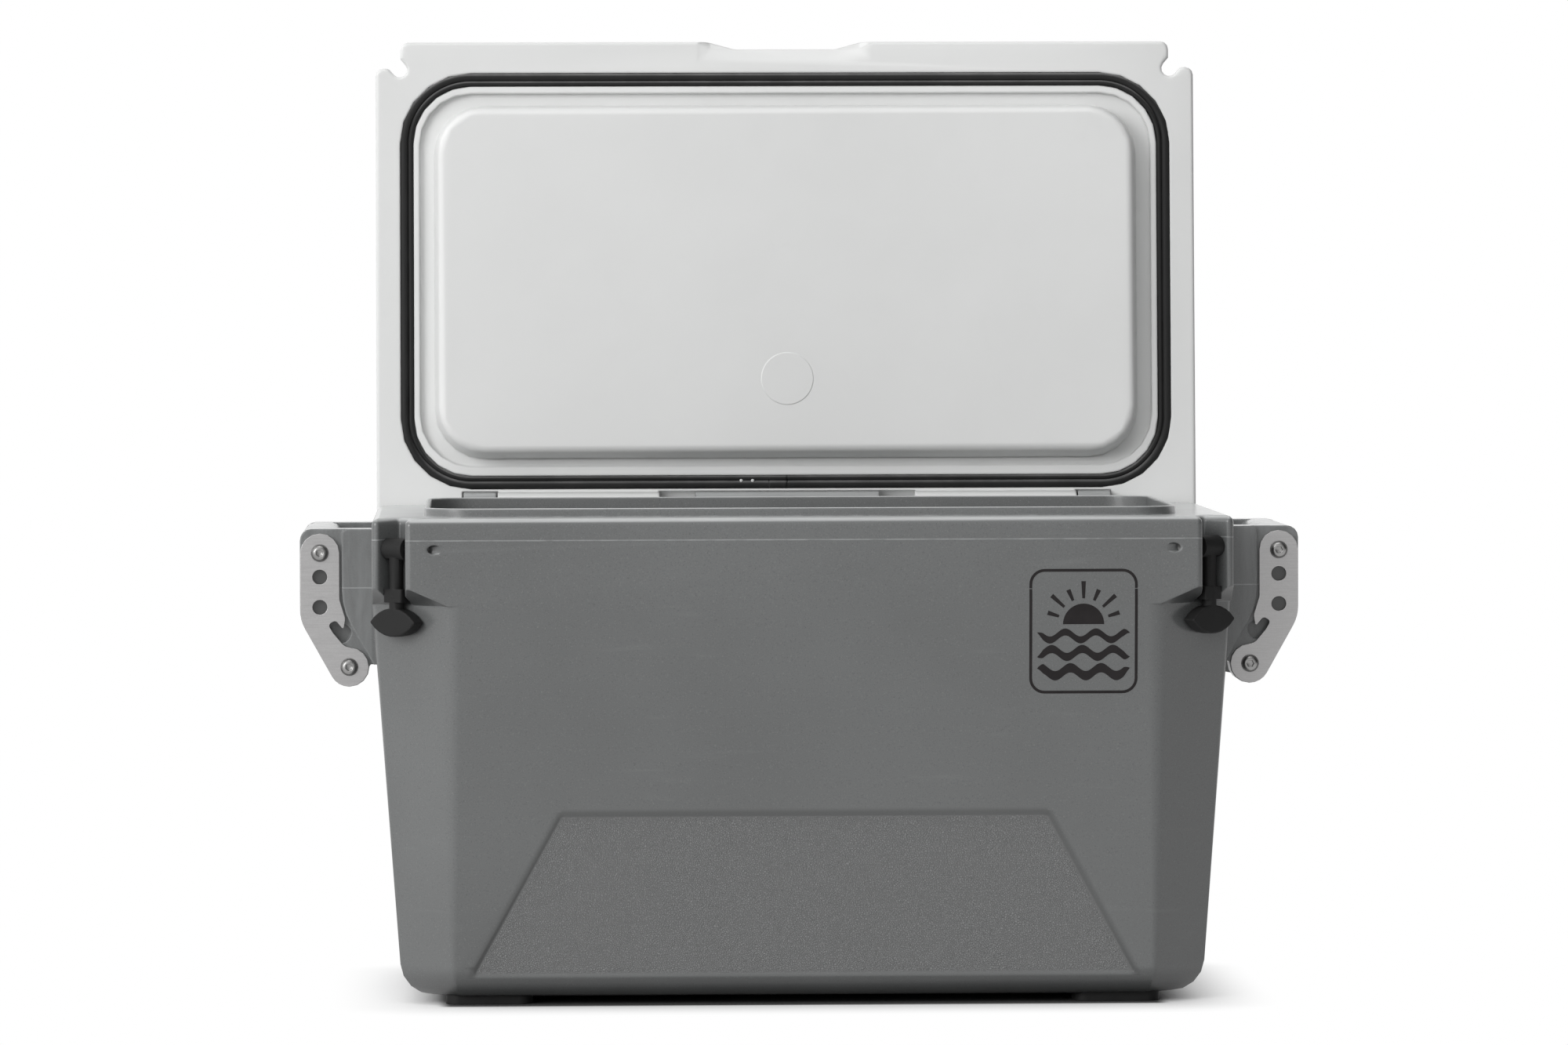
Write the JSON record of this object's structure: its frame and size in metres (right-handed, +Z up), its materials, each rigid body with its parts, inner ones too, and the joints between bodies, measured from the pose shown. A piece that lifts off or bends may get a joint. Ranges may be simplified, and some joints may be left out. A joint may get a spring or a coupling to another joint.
{
  "type": "boat cooler",
  "caption": "Hard-sided insulated cooler with a hinged lid standing open, rubber corner latches, side handles faced with metal opener plates, a drain and rubber feet.",
  "frame": {"origin": "centre of the bounding box in plan, on the surface that the feet stand on, with the lid open", "axes": "+X to the right along the length, +Y from the front to the hinges, +Z up"},
  "size_m": [0.858, 0.4946, 0.8289],
  "materials": {
    "body_plastic": "moulded grey polyethylene, satin",
    "lid_plastic": "moulded off-white polyethylene, satin",
    "foam": "rigid polyurethane foam",
    "gasket_rubber": "soft extruded rubber",
    "black_rubber": "moulded rubber, matte",
    "brushed_aluminium": "brushed along its length",
    "stainless_steel": "turned, bright",
    "brass_insert": "plain",
    "drain_plastic": "moulded black plastic"
  },
  "bodies": {
    "body": {"body_shell": "body_plastic", "body_foam_plug_left": "body_plastic", "body_foam_plug_right": "body_plastic", "body_foam": "foam", "drain_washer": "black_rubber", "foot_left_front": "black_rubber", "foot_left_back": "black_rubber", "foot_right_front": "black_rubber", "foot_right_back": "black_rubber", "handle_plate_left_front": "brushed_aluminium", "handle_plate_left_back": "brushed_aluminium", "handle_plate_right_front": "brushed_aluminium", "handle_plate_right_back": "brushed_aluminium", "plate_bolt_left_front_upper": "stainless_steel", "plate_bolt_left_front_lower": "stainless_steel", "plate_bolt_left_back_upper": "stainless_steel", "plate_bolt_left_back_lower": "stainless_steel", "plate_bolt_right_front_upper": "stainless_steel", "plate_bolt_right_front_lower": "stainless_steel", "plate_bolt_right_back_upper": "stainless_steel", "plate_bolt_right_back_lower": "stainless_steel", "foot_screw_left_front": "stainless_steel", "foot_screw_left_back": "stainless_steel", "foot_screw_right_front": "stainless_steel", "foot_screw_right_back": "stainless_steel", "hinge_pin_left": "stainless_steel", "hinge_pin_right": "stainless_steel", "latch_pin_left": "stainless_steel", "latch_pin_right": "stainless_steel", "plate_insert_left_front_upper": "brass_insert", "plate_insert_left_front_lower": "brass_insert", "plate_insert_left_back_upper": "brass_insert", "plate_insert_left_back_lower": "brass_insert", "plate_insert_right_front_upper": "brass_insert", "plate_insert_right_front_lower": "brass_insert", "plate_insert_right_back_upper": "brass_insert", "plate_insert_right_back_lower": "brass_insert", "drain_fitting": "drain_plastic", "drain_nut": "drain_plastic"},
    "lid": {"lid_shell": "lid_plastic", "lid_foam": "foam", "lid_foam_plug": "lid_plastic", "lid_gasket": "gasket_rubber"},
    "latch_left": {"latch_left": "black_rubber"},
    "latch_right": {"latch_right": "black_rubber"},
    "drain_plug": {"drain_plug": "drain_plastic"}
  },
  "joints": [
    {"name": "lid_hinge", "type": "hinge", "parent": "body", "child": "lid", "pos_m": [0, 0.17073, 0.41525], "axis": [1, 0, 0], "range_deg": [0, 94]},
    {"name": "latch_left_pivot", "type": "hinge", "parent": "body", "child": "latch_left", "pos_m": [-0.3455, -0.21977, 0.3895], "axis": [-0.766, 0.6428, 0], "range_deg": [0, 180]},
    {"name": "latch_right_pivot", "type": "hinge", "parent": "body", "child": "latch_right", "pos_m": [0.3455, -0.21977, 0.3895], "axis": [-0.766, -0.6428, 0], "range_deg": [0, 180]},
    {"name": "drain_plug_turn", "type": "hinge", "parent": "body", "child": "drain_plug", "pos_m": [0.32921, -0.04027, 0.068], "axis": [1, 0, 0], "continuous": true}
  ]
}
